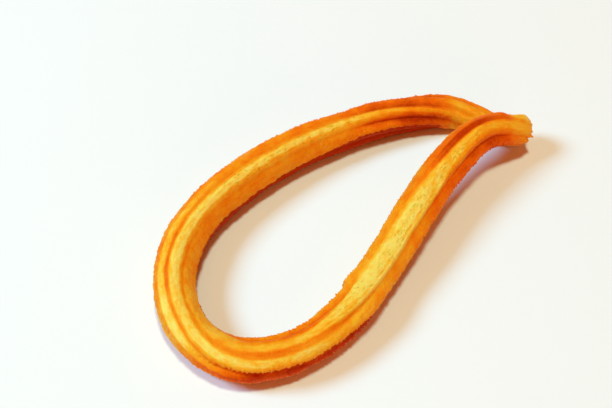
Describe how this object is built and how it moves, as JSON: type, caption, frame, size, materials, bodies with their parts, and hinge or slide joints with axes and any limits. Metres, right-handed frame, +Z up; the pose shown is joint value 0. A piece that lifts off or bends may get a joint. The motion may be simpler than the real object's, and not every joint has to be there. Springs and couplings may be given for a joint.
{
  "type": "churro",
  "caption": "Loop churro: a fluted strand of fried dough bent into a teardrop, its two ends pressed together and torn off at the tip.",
  "frame": {"origin": "on the surface that the churro lies on, under the middle of its outline", "axes": "+X from the round end of the loop towards the pressed, torn tip, +Z up"},
  "size_m": [0.17, 0.0914, 0.0221],
  "materials": {
    "fried_dough": "golden-orange fried crust with a slight oil sheen"
  },
  "bodies": {
    "root": {"churro": "fried_dough"}
  },
  "joints": []
}
